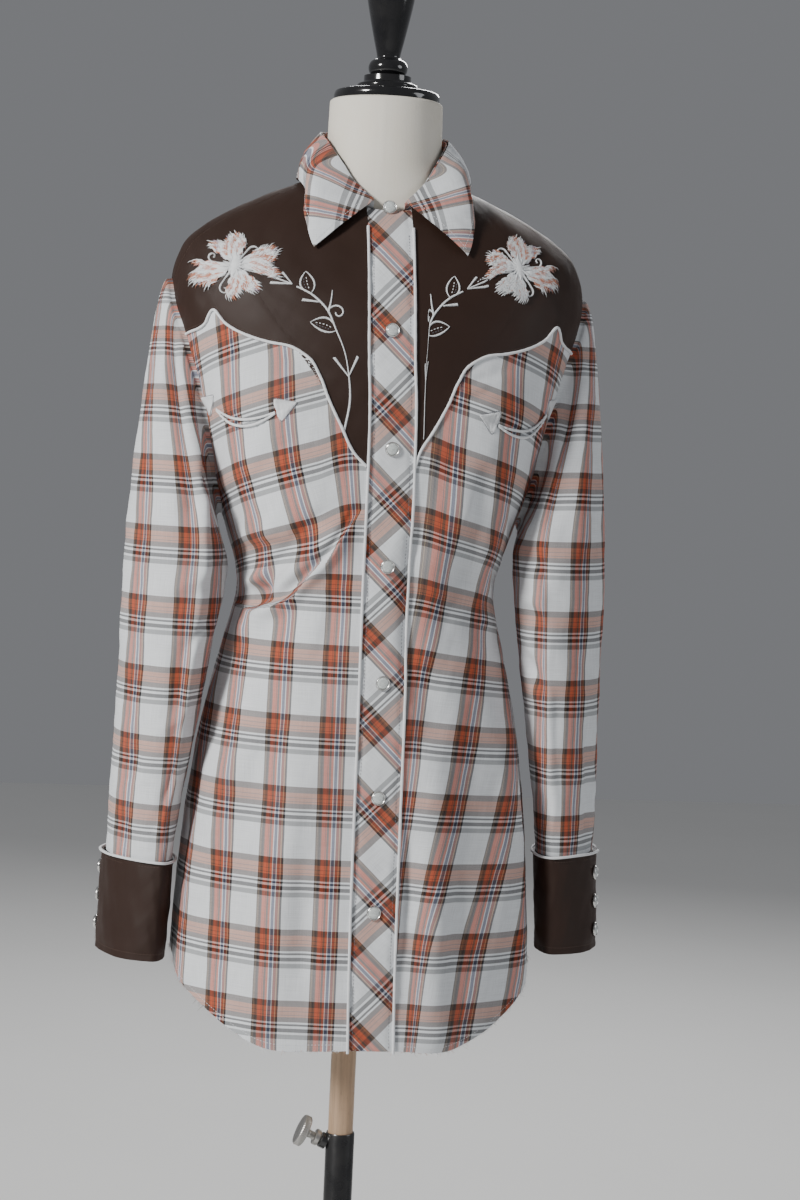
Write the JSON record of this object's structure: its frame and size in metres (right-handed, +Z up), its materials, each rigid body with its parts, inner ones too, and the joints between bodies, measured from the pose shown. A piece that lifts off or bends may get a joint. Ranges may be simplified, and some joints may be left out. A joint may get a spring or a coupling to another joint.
{
  "type": "western snap shirt on a limbless dress form and stand",
  "caption": "Long-sleeved western shirt, plaid with pointed dark yokes, piping, smile pockets and pearl snaps, worn by a limbless dress form on a stand that slides, turns and clamps",
  "frame": {"origin": "on the pole's axis at the underside of the base plate, where the stand meets the floor", "axes": "+Z up along the pole, -Y the front of the shirt, +X the wearer's left"},
  "size_m": [0.4796, 0.37, 1.633],
  "materials": {
    "plaid_cloth": "light cotton-blend plaid in orange, brick, brown, grey and white, soft, matt",
    "brown_twill": "dark brown twill with a slight sheen",
    "white_piping": "white corded piping and satin stitch",
    "pearl_snap": "pearl cap in a bright metal ring",
    "form_canvas": "off-white painted canvas over a moulded board shell",
    "black_lacquer": "turned wood in gloss black lacquer",
    "beech_wood": "waxed pale wood",
    "black_steel": "gloss black painted steel",
    "bright_steel": "worn bright steel"
  },
  "bodies": {
    "stand": {"base_plate": "black_steel", "tube": "black_steel", "screw_boss": "black_steel"},
    "clamp": {"clamp_screw": "bright_steel"},
    "pole": {"wood_pole": "beech_wood"},
    "form": {"back_panel": "plaid_cloth", "collar_leaf": "plaid_cloth", "collar_stand": "plaid_cloth", "cuff_left": "brown_twill", "cuff_piping_left": "white_piping", "cuff_piping_right": "white_piping", "cuff_right": "brown_twill", "cuff_snap_left_1": "pearl_snap", "cuff_snap_left_2": "pearl_snap", "cuff_snap_left_3": "pearl_snap", "cuff_snap_right_1": "pearl_snap", "cuff_snap_right_2": "pearl_snap", "cuff_snap_right_3": "pearl_snap", "finial": "black_lacquer", "form_torso": "form_canvas", "front_left": "plaid_cloth", "front_right": "plaid_cloth", "neck_cap": "black_lacquer", "placket": "plaid_cloth", "placket_piping_left": "white_piping", "placket_piping_right": "white_piping", "pocket_arrow_inner_left": "white_piping", "pocket_arrow_inner_right": "white_piping", "pocket_arrow_outer_left": "white_piping", "pocket_arrow_outer_right": "white_piping", "pocket_lip_lower_left": "white_piping", "pocket_lip_lower_right": "white_piping", "pocket_lip_upper_left": "white_piping", "pocket_lip_upper_right": "white_piping", "sleeve_left": "plaid_cloth", "sleeve_right": "plaid_cloth", "snap_1": "pearl_snap", "snap_2": "pearl_snap", "snap_3": "pearl_snap", "snap_4": "pearl_snap", "snap_5": "pearl_snap", "snap_6": "pearl_snap", "snap_collar": "pearl_snap", "yoke_back": "brown_twill", "yoke_front_left": "brown_twill", "yoke_front_right": "brown_twill", "yoke_piping_back": "white_piping", "yoke_piping_left": "white_piping", "yoke_piping_right": "white_piping"}
  },
  "joints": [
    {"name": "pole_height", "type": "slide", "parent": "stand", "child": "pole", "axis": [0, 0, 1], "range_m": [-0.09, 0.2]},
    {"name": "form_swivel", "type": "hinge", "parent": "pole", "child": "form", "pos_m": [0, 0, 0.7], "axis": [0, 0, 1], "continuous": true},
    {"name": "clamp_turn", "type": "hinge", "parent": "stand", "child": "clamp", "pos_m": [0, 0, 0.5], "axis": [-0.9063, 0, 0.4226], "range_deg": [0, 720]}
  ]
}
